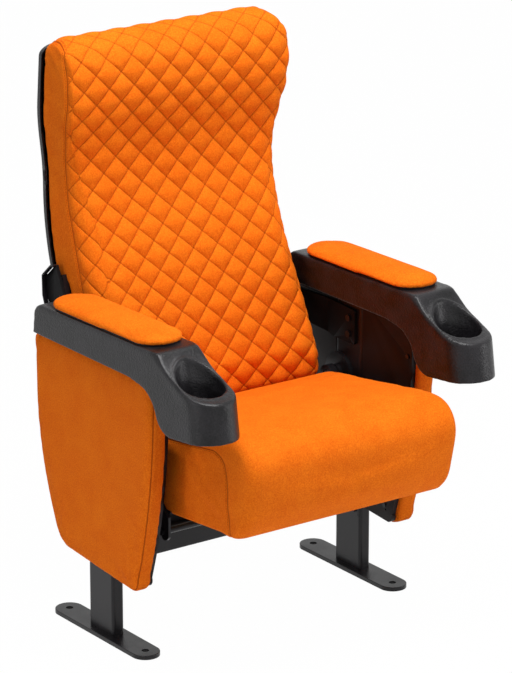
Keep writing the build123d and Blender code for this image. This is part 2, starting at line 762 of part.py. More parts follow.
with BuildPart() as back_cushion:
    loft([back_section(z) for z in low_sections + even_sections + top_sections])
    # pocket for the plywood board and notches for the struts
    board_far = back_board_recess + back_board_thickness
    with BuildSketch(Plane.YZ.offset(-back_board_half_width)):
        rear_band(back_board_top_z, back_board_bottom_z, -board_far, 5)
    extrude(amount=2 * back_board_half_width, mode=Mode.SUBTRACT)
    notch_depth = (strut_front_depth + notch_clearance) * 1.05
    for x in (-back_high_half_width - 1, back_board_half_width):
        with BuildSketch(Plane.YZ.offset(x)):
            with BuildLine():
                Polyline(
                    (rear_y(notch_top_z, -notch_depth), notch_top_z),
                    (rear_y(back_low_z - 10, -notch_depth), back_low_z - 10),
                    (400, back_low_z - 10),
                    (400, notch_top_z),
                    close=True,
                )
            make_face()
        extrude(amount=back_high_half_width + 1 - back_board_half_width, mode=Mode.SUBTRACT)
save(back_cushion.part, "back_cushion")

with BuildPart() as back_board:
    with BuildSketch(Plane.YZ.offset(-back_board_half_width)):
        rear_band(back_board_top_z, back_board_bottom_z, -board_far, -back_board_recess)
    extrude(amount=2 * back_board_half_width)
save(back_board.part, "back_board")

with BuildPart() as shell_room:
    with BuildSketch(Plane.YZ.offset(-back_high_half_width)):
        rear_band(shell_top_z, shell_bottom_z, -10, shell_depth - shell_wall)
    extrude(amount=2 * back_high_half_width)
    with BuildSketch(Plane.XZ):
        back_front_view(
            shell_overhang - shell_wall, shell_top_z - shell_wall, shell_bottom_z + shell_wall, shell_corner_radius
        )
    extrude(amount=400, both=True, mode=Mode.INTERSECT)
    with BuildSketch(Plane.XZ):
        with Locations((0, shell_foot_top_z / 2)):
            Rectangle(2 * back_high_half_width + 20, shell_foot_top_z + 2 * shell_wall)
            Rectangle(2 * (shell_foot_half_width - shell_wall), shell_foot_top_z + 20, mode=Mode.SUBTRACT)
    extrude(amount=400, both=True, mode=Mode.SUBTRACT)

with BuildPart() as back_shell:
    with BuildSketch(Plane.YZ.offset(-back_high_half_width - 10)):
        rear_band(shell_top_z, shell_bottom_z, shell_gap, shell_depth)
    extrude(amount=2 * back_high_half_width + 20)
    with BuildSketch(Plane.XZ):
        back_front_view(shell_overhang, shell_top_z, shell_bottom_z, shell_corner_radius)
    extrude(amount=400, both=True, mode=Mode.INTERSECT)
    with BuildSketch(Plane.XZ):
        with Locations((0, shell_foot_top_z / 2)):
            Rectangle(2 * back_high_half_width + 20, shell_foot_top_z)
            Rectangle(2 * shell_foot_half_width, shell_foot_top_z + 20, mode=Mode.SUBTRACT)
    extrude(amount=400, both=True, mode=Mode.SUBTRACT)
    add(shell_room.part, mode=Mode.SUBTRACT)
save(back_shell.part, "back_shell")

# ---- Struts at both sides of the back, and the arms that tie them to the posts ----
strut_plane = Plane(
    origin=(0, lower_rear_y, lower_rear_z), x_dir=(1, 0, 0), z_dir=(0, -lower_rear_lean, -1)
)
strut_slope = (1 + lower_rear_lean**2) ** 0.5
strut_start = (lower_rear_z - strut_top_z) * strut_slope
strut_length = (strut_top_z - strut_bottom_z) * strut_slope
strut_inner_x = back_board_half_width
strut_bolt_z = (528, 600)
strut_bolt_radius = 3.0
board_middle = back_board_recess + back_board_thickness / 2
with BuildPart() as back_strut:
    with BuildSketch(strut_plane.offset(strut_start)):
        with BuildLine():
            Polyline(
                (strut_outer_x, -strut_rear_depth),
                (strut_inner_x, -strut_rear_depth),
                (strut_inner_x, strut_front_depth),
                (strut_outer_x, strut_front_depth),
                (strut_outer_x, strut_front_depth - strut_wall),
                (strut_inner_x + strut_wall, strut_front_depth - strut_wall),
                (strut_inner_x + strut_wall, strut_wall - strut_rear_depth),
                (strut_outer_x, strut_wall - strut_rear_depth),
                close=True,
            )
        make_face()
    extrude(amount=strut_length)
    for z in strut_bolt_z:
        with BuildSketch(Plane.YZ.offset(strut_inner_x)):
            with Locations((rear_y(z, -board_middle), z)):
                Circle(strut_bolt_radius)
        extrude(amount=strut_wall, mode=Mode.SUBTRACT)
save_pair(back_strut.part, "back_strut")

with BuildPart() as back_arm:
    far_x = strut_outer_x + back_arm_thickness
    with BuildSketch(Plane.XY.offset(440)):
        with BuildLine():
            Polyline(
                (post_inner_x, -25),
                (post_inner_x, 61),
                (far_x, 131),
                (far_x, 250),
                (strut_outer_x, 250),
                (strut_outer_x, 129),
                (post_inner_x - back_arm_thickness, 59),
                (post_inner_x - back_arm_thickness, -25),
                close=True,
            )
        make_face()
    extrude(amount=200)
    with BuildSketch(Plane.YZ):
        with BuildLine():
            Polyline((-25, 462), (-25, 530), (60, 534), (140, 545), (166, 551), (192, 600), close=False)
            Polyline((192, 600), (236, 612), (242, 590), (222, 536), (190, 500), (100, 478), (40, 462), (-25, 462))
        back_arm_face = make_face()
        fillet(back_arm_face.vertices(), 4)
    extrude(amount=400, mode=Mode.INTERSECT)
    holes_across(back_arm_bolts, post_inner_x - back_arm_thickness - 1)
save_pair(back_arm.part, "back_arm")

back_arm_bolt_x = post_inner_x - back_arm_thickness
save_group([bolt(across(back_arm_bolt_x, y, z), 16) for y, z in back_arm_bolts], "back_arm_bolts")

strut_bolts = [
    Plane(origin=(strut_inner_x + strut_wall, rear_y(z, -board_middle), z), x_dir=(0, 1, 0), z_dir=(-1, 0, 0))
    for z in strut_bolt_z
]
save_group([bolt(place, 36, strut_bolt_radius, 5.5, 3.5) for place in strut_bolts], "strut_bolts")

shell_screws = [
    Plane(origin=(120, rear_y(z, shell_depth), z), x_dir=(1, 0, 0), z_dir=(0, -1, -lean))
    for z, lean in ((950, upper_rear_lean), (560, -lower_rear_lean))
]
save_group(
    [bolt(place, 24, screw_radius, screw_head_radius, screw_head_height) for place in shell_screws], "shell_screws"
)
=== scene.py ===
"""Looks of the tip-up auditorium seat: quilted back, upholstered cushion, domed arm pads,
covered side panels and black moulded arms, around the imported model."""
import json
import math

import bpy
import numpy as np
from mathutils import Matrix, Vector

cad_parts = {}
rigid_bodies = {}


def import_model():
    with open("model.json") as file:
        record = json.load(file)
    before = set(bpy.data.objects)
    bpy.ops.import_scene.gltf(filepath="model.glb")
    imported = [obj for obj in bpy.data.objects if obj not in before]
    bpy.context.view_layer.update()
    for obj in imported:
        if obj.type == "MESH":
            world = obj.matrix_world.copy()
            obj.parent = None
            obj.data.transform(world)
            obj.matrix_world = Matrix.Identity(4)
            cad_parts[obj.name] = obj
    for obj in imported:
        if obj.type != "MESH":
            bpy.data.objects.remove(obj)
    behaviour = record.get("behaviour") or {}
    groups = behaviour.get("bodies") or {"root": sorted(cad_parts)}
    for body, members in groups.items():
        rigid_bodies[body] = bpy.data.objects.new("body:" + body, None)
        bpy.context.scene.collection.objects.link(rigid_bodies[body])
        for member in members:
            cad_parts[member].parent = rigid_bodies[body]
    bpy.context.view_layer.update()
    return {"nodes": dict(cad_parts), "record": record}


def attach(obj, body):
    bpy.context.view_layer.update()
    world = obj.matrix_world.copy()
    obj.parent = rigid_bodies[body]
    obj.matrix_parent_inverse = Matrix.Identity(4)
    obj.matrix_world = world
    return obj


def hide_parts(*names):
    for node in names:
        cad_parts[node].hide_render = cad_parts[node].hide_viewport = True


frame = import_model()
nodes = frame["nodes"]
scene = bpy.context.scene

MM = 0.001
SWELL_STEPS = 20            # frames of the cloth simulation
SWELL_PRESSURE = 4.0


# ======================= Tools for shaping =======================

def only(piece):
    """Selects one object and nothing else."""
    for other in bpy.context.view_layer.objects:
        other.select_set(False)
    piece.select_set(True)
    bpy.context.view_layer.objects.active = piece


def copy_of(node, name):
    """A welded copy of a solid's mesh, ready to be shaped."""
    piece = bpy.data.objects.new(name, nodes[node].data.copy())
    bpy.context.collection.objects.link(piece)
    piece.data.materials.clear()
    only(piece)
    bpy.ops.object.mode_set(mode="EDIT")
    bpy.ops.mesh.select_all(action="SELECT")
    bpy.ops.mesh.remove_doubles(threshold=0.00002)
    bpy.ops.object.mode_set(mode="OBJECT")
    return piece


def apply_modifier(piece, kind, **settings):
    modifier = piece.modifiers.new(kind.lower(), kind)
    for setting, value in settings.items():
        setattr(modifier, setting, value)
    only(piece)
    bpy.ops.object.modifier_apply(modifier=modifier.name)


def points(piece):
    """The mesh points in millimetres, one row each."""
    flat = np.empty(len(piece.data.vertices) * 3)
    piece.data.vertices.foreach_get("co", flat)
    return flat.reshape(-1, 3) / MM


def move_points(piece, places):
    piece.data.vertices.foreach_set("co", (places * MM).ravel())
    piece.data.update()


def normals(piece):
    flat = np.empty(len(piece.data.vertices) * 3, np.float32)
    piece.data.vertex_normals.foreach_get("vector", flat)
    return flat.reshape(-1, 3).astype(float)


def soften(piece, rounds, weight=1.0):
    """Draws each point towards the middle of its neighbours, which rounds the edges."""
    ends = np.empty(len(piece.data.edges) * 2, np.int32)
    piece.data.edges.foreach_get("vertices", ends)
    first, second = ends.reshape(-1, 2).T
    places = points(piece)
    total = len(places)
    count = np.bincount(ends, minlength=total)[:, None]
    for _ in range(rounds):
        sums = [
            np.bincount(first, places[second, axis], total)
            + np.bincount(second, places[first, axis], total)
            for axis in range(3)
        ]
        middle = np.stack(sums, axis=1) / count
        places = places + 0.5 * np.reshape(weight, (-1, 1)) * (middle - places)
    move_points(piece, places)


def smooth_step(value, low, high):
    """0 below low, 1 above high and an even rise between."""
    share = np.clip((value - low) / (high - low), 0, 1)
    return share * share * (3 - 2 * share)


def swell(piece, cap, held):
    """Fills a cover with air pressure, by less than the cap in millimetres; held is 1 where
    the cover may not move."""
    before = points(piece)
    group = piece.vertex_groups.new(name="held")
    group.add(np.flatnonzero(held > 0.99).tolist(), 1.0, "REPLACE")
    modifier = piece.modifiers.new("cover", "CLOTH")
    cover = modifier.settings
    cover.quality = 4
    cover.use_pressure = True
    cover.uniform_pressure_force = SWELL_PRESSURE
    cover.effector_weights.gravity = 0
    cover.vertex_group_mass = group.name
    modifier.collision_settings.use_collision = False
    modifier.point_cache.frame_start = 1
    modifier.point_cache.frame_end = SWELL_STEPS
    for step in range(1, SWELL_STEPS + 1):
        scene.frame_set(step)
    only(piece)
    bpy.ops.object.modifier_apply(modifier=modifier.name)
    piece.vertex_groups.clear()
    shift = points(piece) - before
    reach = np.linalg.norm(shift, axis=1, keepdims=True) + 1e-9
    limit = cap * np.tanh(reach / cap) / reach
    move_points(piece, before + shift * limit * (1 - held[:, None]))
    scene.frame_set(1)


def mirrored(piece, name):
    """A copy of a piece on the other side of the seat."""
    twin = bpy.data.objects.new(name, piece.data.copy())
    bpy.context.collection.objects.link(twin)
    move_points(twin, points(twin) * (-1, 1, 1))
    twin.data.flip_normals()
    return twin


def store(piece, name, values):
    """Keeps one number per point, in metres, for a material to read."""
    kept = piece.data.attributes.get(name) or piece.data.attributes.new(name, "FLOAT", "POINT")
    kept.data.foreach_set("value", np.asarray(values, np.float32))


def stored(piece, name):
    """Reads the numbers back, in millimetres, after modifiers have added points between."""
    values = np.empty(len(piece.data.vertices), np.float32)
    piece.data.attributes[name].data.foreach_get("value", values)
    return values.astype(float) / MM


def folded_strip(name, section, first_x, last_x, thickness):
    """Sheet steel folded along X: a (y, z) section with rounded edges, between two x places."""
    corners = [(x * MM, y * MM, z * MM) for x in (first_x, last_x) for y, z in section]
    count = len(section)
    faces = [(at, at + 1, at + 1 + count, at + count) for at in range(count - 1)]
    mesh = bpy.data.meshes.new(name)
    mesh.from_pydata(corners, [], faces)
    piece = bpy.data.objects.new(name, mesh)
    bpy.context.collection.objects.link(piece)
    apply_modifier(piece, "SOLIDIFY", thickness=thickness * MM, offset=0.0)
    apply_modifier(piece, "BEVEL", width=0.9 * MM, segments=2, limit_method="ANGLE")
    only(piece)
    bpy.ops.object.mode_set(mode="EDIT")
    bpy.ops.mesh.select_all(action="SELECT")
    bpy.ops.mesh.normals_make_consistent(inside=False)
    bpy.ops.object.mode_set(mode="OBJECT")
    return piece


def place_on(piece, body, slot, material, *replaced, sharp=None):
    """Gives a piece its material and body; the slot is not used. Edges over the sharp angle stay creased.
    """
    piece.data.materials.clear()
    piece.data.materials.append(material)
    if sharp is None:
        piece.data.polygons.foreach_set("use_smooth", np.ones(len(piece.data.polygons), bool))
    else:
        only(piece)
        bpy.ops.object.shade_smooth_by_angle(angle=math.radians(sharp))
    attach(piece, body)
    if replaced:
        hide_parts(*replaced)


# ======================= Materials =======================

def colour(hex_code):
    """An sRGB hex value as the linear colour that the shaders take."""
    parts = [int(hex_code[at:at + 2], 16) / 255 for at in (1, 3, 5)]
    return (*[part / 12.92 if part <= 0.04045 else ((part + 0.055) / 1.055) ** 2.4 for part in parts], 1.0)


def wire(tree, kind, inputs, output=0, **settings):
    """Adds one node with its settings and gives back one of its outputs. An input, by its
    number or name, takes a value or the output of another node."""
    made = tree.nodes.new("ShaderNode" + kind)
    for name, value in settings.items():
        setattr(made, name, value)
    for socket, value in inputs.items():
        if isinstance(value, bpy.types.NodeSocket):
            tree.links.new(value, made.inputs[socket])
        else:
            made.inputs[socket].default_value = value
    return made.outputs[output]


def new_material(name, **surface):
    """A material with one Principled shader, and its tree."""
    material = bpy.data.materials.new(name)
    material.use_nodes = True
    shader = material.node_tree.nodes["Principled BSDF"]
    for socket, value in surface.items():
        shader.inputs[socket.replace("_", " ")].default_value = value
    return material, material.node_tree, shader


SMOOTH = {"interpolation_type": "SMOOTHSTEP"}    # of a Map Range node
FALLING = {3: 1.0, 4: 0.0}                       # a Map Range that falls from 1 to 0
TONES = {"data_type": "RGBA", "output": 2}       # of a Mix node, whose colours are inputs 6 and 7

FABRIC_LIGHT = colour("#F8841A")
FABRIC_DARK = colour("#D65204")
# the thread's colour, which also paints the shade in the grooves of the quilting and of the seams
THREAD_AND_GROOVE_SHADE = colour("#9A3A06")
NAP_CLOUD_MM = 50.0
TUFT_MM = 50.0 / 19         # tufts are 0.3 mm in the cloth, and coarser here, so that they show
TUFT_SHARE = 0.8            # of the change in tone; the clouds have the rest
QUILT_X = 27.38 * MM        # half a diamond across
QUILT_S = 27.9 * MM         # half a diamond along the surface
QUILT_REACH = 2 * QUILT_X * QUILT_S / math.hypot(QUILT_X, QUILT_S)
STITCHES = 10.0             # to the side of a diamond, so one is 3.9 mm long
GROOVE_SHADE_AND_THREAD_FULL = 0.3 * MM      # the painted groove shade and the thread of a line of stitches are full up to here
GROOVE_SHADE_AND_THREAD_END = 1.7 * MM       # and end here
CREASE_END = 3.0 * MM
CREASE_DIP = 1.3 * MM
SEAM_FULL = 0.5 * MM        # the same for the painted shade along a seam
SEAM_END = 1.6 * MM
SEAM_DIP = 0.8 * MM
TOP_STITCH_AWAY = 3.4 * MM  # from the seam
TOP_STITCH_STEP = 5.0 * MM
TOP_STITCH_FULL = 0.3 * MM
TOP_STITCH_END = 0.8 * MM
TOP_STITCH_DIP = 0.25 * MM


def quilt_lines(tree, tone, height):
    """Rows of stitches both ways over the quilting, drawn into a tone and a height: each row is darkened
    by painted shade in its crease and, at each stitch, by the thread.
    """
    flat = wire(tree, "UVMap", {}, uv_map="quilt")
    mask = wire(tree, "Attribute", {}, "Fac", attribute_name="quilted")
    across_run = wire(tree, "SeparateXYZ", {0: flat}, "X")
    along_run = wire(tree, "SeparateXYZ", {0: flat}, "Y")
    across = wire(tree, "Math", {0: across_run, 1: 2 * QUILT_X}, operation="DIVIDE")
    along = wire(tree, "Math", {0: along_run, 1: 2 * QUILT_S}, operation="DIVIDE")
    first = wire(tree, "Math", {0: across, 1: along}, operation="ADD")
    second = wire(tree, "Math", {0: across, 1: along}, operation="SUBTRACT")
    for row, other in ((first, second), (second, first)):
        nearest = wire(tree, "Math", {0: row}, operation="ROUND")
        off_row = wire(tree, "Math", {0: row, 1: nearest}, operation="SUBTRACT")
        off_line = wire(tree, "Math", {0: off_row}, operation="ABSOLUTE")
        gap = wire(tree, "Math", {0: off_line, 1: QUILT_REACH}, operation="MULTIPLY")
        # thread is the reach of the row's painted crease shade as well as of its thread
        thread = wire(tree, "MapRange", {0: gap, 1: GROOVE_SHADE_AND_THREAD_FULL, 2: GROOVE_SHADE_AND_THREAD_END, **FALLING}, **SMOOTH)
        thread = wire(tree, "Math", {0: thread, 1: mask}, operation="MULTIPLY")
        count = wire(tree, "Math", {0: other, 1: STITCHES}, operation="MULTIPLY")
        part = wire(tree, "Math", {0: count}, operation="FRACT")
        stitch = wire(tree, "MapRange", {0: part, 1: 0.1, 2: 0.3}, **SMOOTH)
        # along a row, 0.2 of painted crease shade, and 0.35 more at each stitch for the thread
        depth = wire(tree, "Math", {0: stitch, 1: 0.35, 2: 0.2}, operation="MULTIPLY_ADD")
        share = wire(tree, "Math", {0: thread, 1: depth}, operation="MULTIPLY")
        tone = wire(tree, "Mix", {0: share, 6: tone, 7: THREAD_AND_GROOVE_SHADE}, **TONES)
        dip = wire(tree, "MapRange", {0: gap, 1: 0.0, 2: CREASE_END, **FALLING}, **SMOOTH)
        dip = wire(tree, "Math", {0: dip, 1: mask}, operation="MULTIPLY")
        height = wire(tree, "Math", {0: dip, 1: -CREASE_DIP, 2: height}, operation="MULTIPLY_ADD")
    return tone, height


def seam_line(tree, tone, height, stitched):
    """One sewn seam, with painted shade along its groove, and a row of top stitches each side of it where
    it is stitched.
    """
    reach = wire(tree, "Attribute", {}, "Fac", attribute_name="seam")
    gap = wire(tree, "Math", {0: reach}, operation="ABSOLUTE")
    line = wire(tree, "MapRange", {0: gap, 1: SEAM_FULL, 2: SEAM_END, **FALLING}, **SMOOTH)
    # painted shade along the seam's groove, in the thread's tone
    share = wire(tree, "Math", {0: line, 1: 0.8}, operation="MULTIPLY")
    tone = wire(tree, "Mix", {0: share, 6: tone, 7: THREAD_AND_GROOVE_SHADE}, **TONES)
    height = wire(tree, "Math", {0: line, 1: -SEAM_DIP, 2: height}, operation="MULTIPLY_ADD")
    if not stitched:
        return tone, height
    past = wire(tree, "Math", {0: gap, 1: TOP_STITCH_AWAY}, operation="SUBTRACT")
    beside = wire(tree, "Math", {0: past}, operation="ABSOLUTE")
    row_range = {1: TOP_STITCH_FULL, 2: TOP_STITCH_END, **FALLING}
    row = wire(tree, "MapRange", {0: beside, **row_range}, **SMOOTH)
    run = wire(tree, "Attribute", {}, "Fac", attribute_name="seam_run")
    count = wire(tree, "Math", {0: run, 1: TOP_STITCH_STEP}, operation="DIVIDE")
    part = wire(tree, "Math", {0: count}, operation="FRACT")
    stitch = wire(tree, "MapRange", {0: part, 1: 0.2, 2: 0.35}, **SMOOTH)
    drawn = wire(tree, "Math", {0: row, 1: stitch}, operation="MULTIPLY")
    share = wire(tree, "Math", {0: drawn, 1: 0.6}, operation="MULTIPLY")
    tone = wire(tree, "Mix", {0: share, 6: tone, 7: THREAD_AND_GROOVE_SHADE}, **TONES)
    height = wire(tree, "Math", {0: row, 1: -TOP_STITCH_DIP, 2: height}, operation="MULTIPLY_ADD")
    return tone, height


def microfibre(name, seam=False, quilt=False, stitched=True):
    """Brushed polyester microfibre: a short nap that scatters light softly, with faint
    clouds where the nap lies another way, thread in each seam, and painted shade along seams and creases."""
    material, tree, shader = new_material(
        name,
        Roughness=0.88,
        Sheen_Weight=0.13,
        Sheen_Roughness=0.35,
        Sheen_Tint=colour("#FFA840"),
        Specular_IOR_Level=0.08,
    )
    place = wire(tree, "TexCoord", {}, "Object")
    cloud = {"Scale": 1000 / NAP_CLOUD_MM, "Detail": 4.0, "Roughness": 0.62, "Distortion": 0.4}
    clouds = wire(tree, "TexNoise", {"Vector": place, **cloud}, "Fac")
    tuft = {"Scale": 1000 / TUFT_MM, "Detail": 4.0, "Roughness": 0.75}
    tufts = wire(tree, "TexNoise", {"Vector": place, **tuft}, "Fac")
    blend = wire(tree, "Mix", {0: TUFT_SHARE, 2: clouds, 3: tufts})
    share = wire(tree, "MapRange", {0: blend, 1: 0.25, 2: 0.75}, **SMOOTH)
    tone = wire(tree, "Mix", {0: share, 6: FABRIC_DARK, 7: FABRIC_LIGHT}, **TONES)
    height = wire(tree, "Math", {0: tufts, 1: 0.55 * MM}, operation="MULTIPLY")
    if quilt:
        tone, height = quilt_lines(tree, tone, height)
    if seam:
        tone, height = seam_line(tree, tone, height, stitched)
    bumped = wire(tree, "Bump", {"Height": height, "Strength": 0.8, "Distance": 1.0})
    tree.links.new(tone, shader.inputs["Base Color"])
    tree.links.new(bumped, shader.inputs["Normal"])
    return material


def grained(name, first, second, roughness, rough_spread, grain_mm, depth_mm, cloud_mm=40.0, **surface):
    """A finish with an even grain: two close tones in soft clouds and a fine bump."""
    material, tree, shader = new_material(name, Roughness=roughness, **surface)
    place = wire(tree, "TexCoord", {}, "Object")
    cloud = {"Scale": 1000 / cloud_mm, "Detail": 3.0, "Roughness": 0.55}
    clouds = wire(tree, "TexNoise", {"Vector": place, **cloud}, "Fac")
    fine = {"Scale": 1000 / grain_mm, "Detail": 2.0, "Roughness": 0.6}
    grain = wire(tree, "TexNoise", {"Vector": place, **fine}, "Fac")
    blend = wire(tree, "Mix", {0: 0.4, 2: clouds, 3: grain})
    share = wire(tree, "MapRange", {0: blend, 1: 0.35, 2: 0.65}, **SMOOTH)
    tone = wire(tree, "Mix", {0: share, 6: colour(first), 7: colour(second)}, **TONES)
    least = roughness - rough_spread / 2
    rough_range = {1: 0.3, 2: 0.7, 3: least, 4: least + rough_spread}
    rough = wire(tree, "MapRange", {0: clouds, **rough_range}, **SMOOTH)
    height = wire(tree, "Math", {0: grain, 1: depth_mm * MM}, operation="MULTIPLY")
    bumped = wire(tree, "Bump", {"Height": height, "Strength": 0.7, "Distance": 1.0})
    tree.links.new(tone, shader.inputs["Base Color"])
    tree.links.new(rough, shader.inputs["Roughness"])
    tree.links.new(bumped, shader.inputs["Normal"])
    return material


# brushed microfibre: plain, with stitched seams, with one seam along an edge, and quilted; each seam and
# quilted crease has painted shade
plain_fabric = microfibre("orange_microfibre")
seamed_fabric = microfibre("orange_microfibre_with_seams", seam=True)
edged_fabric = microfibre("orange_microfibre_with_edge_seam", seam=True, stitched=False)
quilted_fabric = microfibre("orange_microfibre_quilted", seam=True, quilt=True)
# polypropylene moulded in a spark-eroded tool: even pits of 0.5 mm, drawn at 3.2 mm so that they show
moulded_black = grained(
    "black_textured_polypropylene", "#0A090B", "#211F22", 0.32, 0.06, 3.2, 1.2, Specular_IOR_Level=0.27
)
# epoxy powder coat, satin, with the faint orange peel that the baked powder leaves
powder_coat = grained(
    "black_satin_powder_coat", "#131114", "#1B191C", 0.34, 0.08, 3.0, 0.03, Specular_IOR_Level=0.28
)
# the same powder baked to a matt finish, nearly without a highlight, and darker, which paints the shade
# behind the cushion onto the plates of the back's arms
matt_coat_with_painted_shade = grained(
    "black_matt_powder_coat_with_painted_shade", "#0C0B0C", "#121112", 0.6, 0.1, 3.0, 0.03, Specular_IOR_Level=0.1
)
# melamine-faced board, nearly black with a warm tint
faced_board = grained(
    "black_melamine_board", "#150F0E", "#1D1413", 0.5, 0.1, 1.5, 0.03, Specular_IOR_Level=0.16
)
# bright zinc: a soft metal with small brighter patches
zinc = grained("bright_zinc_plate", "#C3C5C8", "#DADCDD", 0.3, 0.12, 2.5, 0.02, 8.0, Metallic=1.0)
# moulded rubber, with a dull skin from the tool
rubber = grained("moulded_black_rubber", "#161515", "#201E1E", 0.72, 0.1, 1.2, 0.08)
# turned acetal, dense and slightly waxy
acetal = grained("black_acetal", "#1A191A", "#222122", 0.38, 0.06, 2.0, 0.02, Specular_IOR_Level=0.3)


FLECKS_PER_METRE = (14.0, 160.0, 9.0)    # 70 mm across, 6 mm through and 110 mm along the sheet


def beech_plywood():
    """Moulded beech plywood, sanded: long pale grain with short darker flecks."""
    material, tree, shader = new_material("beech_plywood", Roughness=0.6)
    place = wire(tree, "TexCoord", {}, "Object")
    drawn = wire(tree, "Mapping", {"Vector": place, "Scale": FLECKS_PER_METRE})
    grain = wire(tree, "TexNoise", {"Vector": drawn, "Scale": 1.0, "Detail": 5.0, "Roughness": 0.6}, "Fac")
    share = wire(tree, "MapRange", {0: grain, 1: 0.35, 2: 0.7}, **SMOOTH)
    tone = wire(tree, "Mix", {0: share, 6: colour("#C79B66"), 7: colour("#DDB98A")}, **TONES)
    bumped = wire(tree, "Bump", {"Height": grain, "Strength": 0.4, "Distance": 0.1 * MM})
    tree.links.new(tone, shader.inputs["Base Color"])
    tree.links.new(bumped, shader.inputs["Normal"])
    return material


plywood = beech_plywood()

FINISHES = {
    "arm_polypropylene": moulded_black,
    "black_powder_coat": powder_coat,
    "black_board": faced_board,
    "plywood": plywood,
    "zinc_plate": zinc,
    "rubber": rubber,
    "acetal": acetal,
    "woven_fabric": plain_fabric,
}
BLACKENED = (
    "back_arm_bolts",
    "board_screws",
    "bracket_bolts",
    "beam_bolts",
    "left_pivot_pin",
    "right_pivot_pin",
    "tie_rod",
)
for entry in frame["record"]["subparts"]:
    finish = FINISHES[entry["material_slot"]]
    if entry["node"] in BLACKENED:
        finish = powder_coat
    solid = nodes[entry["node"]]
    solid.data.materials.clear()
    solid.data.materials.append(finish)


# ======================= Back cushion =======================

BACK_TOP = 1086.0
CREST_RADIUS = 34.0
CREST_Z = BACK_TOP - CREST_RADIUS
LOW_REACH = 14.0            # the cover reaches this far below the foam
BACK_LOW = 402.0 - LOW_REACH
# the front on its centre line: the end of the straight part, the hollow and the head bulge
BEND_Y, BEND_Z = 156.0, 744.0
HOLLOW_Y, HOLLOW_Z = 177.0, 849.0
HEAD_Y, HEAD_Z = 153.5, 988.0
LEAN = 0.40                 # of the straight part, forward for each millimetre down
CREST_CURVE = 0.002         # above the head bulge, per square millimetre of height
NARROW_HALF = 232.0         # half the width, up to the flare
WIDE_HALF = 250.0
FLARE_Z = 790.0
FLARE_HEIGHT = 170.0
EDGE_RADIUS = 10.0          # between front and side, at the crest
LOIN_RADIUS = 40.0          # and at the height of the loins
LOIN_Z, LOIN_REACH = 680.0, 130.0
TOP_SEAM_Y, TOP_SEAM_Z = 208.0, 1077.0     # highest place of the seam over the top, an arch
TOP_SEAM_HALF = 26.0        # half its length
TOP_SEAM_RISE = 9.0


def rounded_end(past, radius):
    """How far a quarter-round end draws in, past its start."""
    past = np.clip(past, 0, radius)
    return radius - np.sqrt(radius**2 - past**2)


def front_line(z):
    """Front of the back on its centre line: straight, hollow, head bulge, rounded crest."""
    low = BEND_Y - LEAN * (BEND_Z - z)
    hollow = HOLLOW_Y - (HOLLOW_Y - BEND_Y) * ((HOLLOW_Z - z) / (HOLLOW_Z - BEND_Z)) ** 2
    swing = np.cos(np.pi * (HEAD_Z - z) / (HEAD_Z - HOLLOW_Z))
    head = (HOLLOW_Y + HEAD_Y) / 2 - (HOLLOW_Y - HEAD_Y) / 2 * swing
    crest = HEAD_Y + CREST_CURVE * (z - HEAD_Z) ** 2
    front = np.select([z < BEND_Z, z < HOLLOW_Z, z < HEAD_Z], [low, hollow, head], crest)
    return front + rounded_end(z - BACK_TOP + CREST_RADIUS, CREST_RADIUS)


def back_half_width(z, corner):
    """Half the width of the back: it flares, and its upper corner is rounded."""
    share = np.clip((z - FLARE_Z) / FLARE_HEIGHT, 0, 1)
    flared = NARROW_HALF + (WIDE_HALF - NARROW_HALF) / 2 * (1 - np.cos(np.pi * share))
    return flared - rounded_end(z - BACK_TOP + corner, corner)


def back_edge(z):
    """Radius of the edge between front and side, largest at the height of the loins."""
    return EDGE_RADIUS + (LOIN_RADIUS - EDGE_RADIUS) * np.exp(-(((z - LOIN_Z) / LOIN_REACH) ** 2))


def boxing_reach(y, z):
    """Depth inside the plain side band of the back, from its seam; negative on the quilting."""
    heights = (BACK_LOW, 500, 600, 688, 778, 879, 980, 1040, 1069)
    depths = (40, 48, 49, 41, 31, 16, 12, 12, 15)
    behind_front = y - front_line(np.minimum(z, CREST_Z)) - np.interp(z, heights, depths)
    top_seam = TOP_SEAM_Z - TOP_SEAM_RISE * ((y - TOP_SEAM_Y) / TOP_SEAM_HALF) ** 2
    return np.minimum(behind_front, top_seam - z)


NOTCH_TOP = 641.0           # of the notch in the foam, beside the arm of the back
NOTCH_CLOSED = 19.0         # the cover's notch is this much lower and its top nearer the front
NOTCH_FORWARD = 5.7
FOAM_CORNER = 80.0
LEFT_CORNER = 30.0
RIGHT_CORNER = 66.0
TURN_IN = 6.0
FIRST_ROW_Z = 1044.7        # height of the first row of crossings
PILLOW_RISE = 6.8
CREASE_DEPTH = 2.9
SLIDE_REACH = 1.7           # points this near to a line of stitches slide onto it
BAND_FULLNESS = 1.6
SEAM_TUCK = 2.2
SEAM_TUCK_WIDTH = 3.0

back = copy_of("back_cushion", "back_cover")
x, y, z = points(back).T
in_notch = (np.abs(z - NOTCH_TOP) < 0.8) & (np.abs(x) > 200) & (y > 190)
y = y - NOTCH_FORWARD * in_notch
z = z - NOTCH_CLOSED * in_notch
z = z - LOW_REACH * smooth_step(440 - z, 0, 28)
move_points(back, np.stack([x, y, z], axis=1))
apply_modifier(back, "REMESH", mode="VOXEL", voxel_size=6 * MM)
# the cover is pulled squarer over the corners of the foam, most at the left
at = points(back)
corner = np.where(at[:, 0] < 0, LEFT_CORNER, RIGHT_CORNER)
spread = back_half_width(at[:, 2], corner) / back_half_width(at[:, 2], FOAM_CORNER)
at[:, 0] *= 1 + (spread - 1) * smooth_step(np.abs(at[:, 0]), 40, 160)
